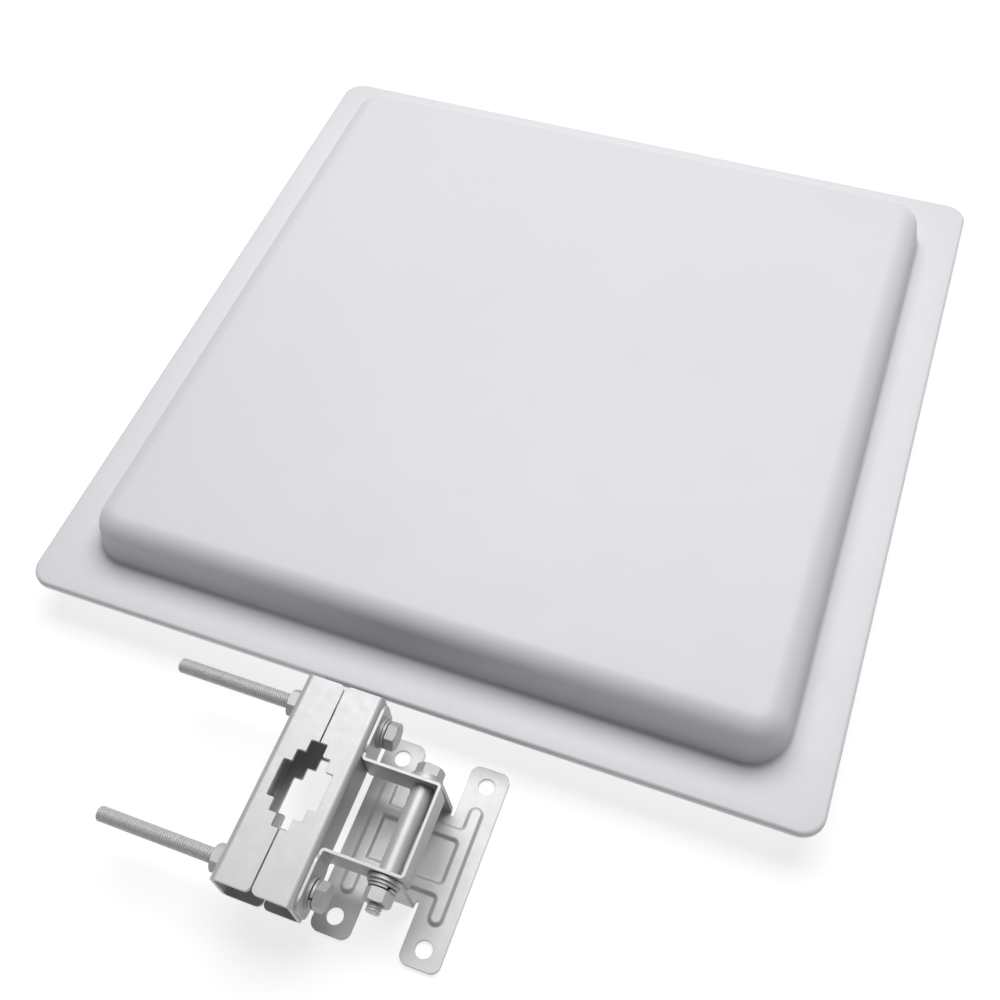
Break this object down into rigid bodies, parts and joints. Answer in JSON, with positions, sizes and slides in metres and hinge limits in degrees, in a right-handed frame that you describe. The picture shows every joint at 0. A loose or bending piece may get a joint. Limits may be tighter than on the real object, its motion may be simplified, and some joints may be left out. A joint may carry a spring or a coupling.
{
  "type": "panel antenna with pole bracket",
  "caption": "Flat square gate antenna with a raised plastic cover, lying beside its tilting pressed-steel pole clamp with stepped jaws, long hex bolts and a slotted pivot plate.",
  "frame": {"origin": "centre of the antenna's rear face, where its plate meets the bracket", "axes": "+Z out of the radome, the way the antenna looks; -Y towards the bracket and the coaxial connector; +X along the clamp bolts, from their tips to their heads"},
  "size_m": [0.45, 0.568, 0.055],
  "materials": {
    "radome_plastic": "satin light grey moulded plastic with a very fine grain",
    "plate_aluminium": "mill-finish sheet with rolling lines",
    "bare_aluminium": "punched sheet",
    "black_rubber": "closed-cell foam",
    "zinc_steel": "dull zinc plate",
    "tube_steel": "satin drawn tube",
    "bracket_grey": "silver-grey coating on pressed steel",
    "white_nylon": "natural nylon",
    "board_laminate": "woven laminate under green resist",
    "copper_track": "copper foil",
    "pin_brass": "gold-flashed brass",
    "bright_nickel": "nickel plate on brass",
    "white_insulator": "turned white fluoroplastic"
  },
  "bodies": {
    "antenna": {"radome": "radome_plastic", "back_plate": "plate_aluminium", "edge_gasket": "black_rubber", "radome_screws": "zinc_steel", "patch_front_left": "bare_aluminium", "patch_front_right": "bare_aluminium", "patch_back_left": "bare_aluminium", "patch_back_right": "bare_aluminium", "patch_posts": "white_nylon", "patch_screws": "zinc_steel", "feed_board": "board_laminate", "feed_tracks": "copper_track", "feed_pins": "pin_brass", "board_spacers": "white_nylon", "stiffener_plate": "zinc_steel", "mounting_studs": "zinc_steel", "connector_gasket": "black_rubber", "connector_body": "bright_nickel", "connector_insulator": "white_insulator", "connector_contact": "pin_brass", "connector_screws": "zinc_steel"},
    "bracket_foot": {"antenna_plate": "bracket_grey", "pivot_bolt": "zinc_steel", "pivot_head_washer": "zinc_steel", "pivot_flat_washer": "zinc_steel", "pivot_spring_washer": "zinc_steel"},
    "pivot_nut": {"pivot_nut": "zinc_steel"},
    "tilt_head": {"tilt_bracket": "bracket_grey", "spacer_tube": "tube_steel", "inner_jaw": "bracket_grey", "clamp_bolt_near": "zinc_steel", "clamp_bolt_far": "zinc_steel", "clamp_flat_washers": "zinc_steel", "clamp_spring_washers": "zinc_steel"},
    "outer_jaw": {"outer_jaw": "bracket_grey"},
    "clamp_nut_near": {"clamp_nut_near": "zinc_steel"},
    "clamp_nut_far": {"clamp_nut_far": "zinc_steel"}
  },
  "joints": [
    {"name": "bracket_lift", "type": "slide", "parent": "antenna", "child": "bracket_foot", "axis": [0, 0, 1], "range_m": [0, 0.3]},
    {"name": "tilt", "type": "hinge", "parent": "bracket_foot", "child": "tilt_head", "pos_m": [0.0353, -0.288, 0.00985], "axis": [0, 1, 0], "range_deg": [0, 180]},
    {"name": "pivot_nut_spin", "type": "hinge", "parent": "bracket_foot", "child": "pivot_nut", "pos_m": [0.0353, -0.32175, 0.00985], "axis": [0, -1, 0], "continuous": true},
    {"name": "jaw_slide", "type": "slide", "parent": "tilt_head", "child": "outer_jaw", "axis": [-1, 0, 0], "range_m": [0, 0.06]},
    {"name": "clamp_nut_near_spin", "type": "hinge", "parent": "outer_jaw", "child": "clamp_nut_near", "pos_m": [-0.04375, -0.3305, 0.01045], "axis": [-1, 0, 0], "continuous": true},
    {"name": "clamp_nut_far_spin", "type": "hinge", "parent": "outer_jaw", "child": "clamp_nut_far", "pos_m": [-0.04375, -0.2455, 0.01045], "axis": [-1, 0, 0], "continuous": true}
  ]
}
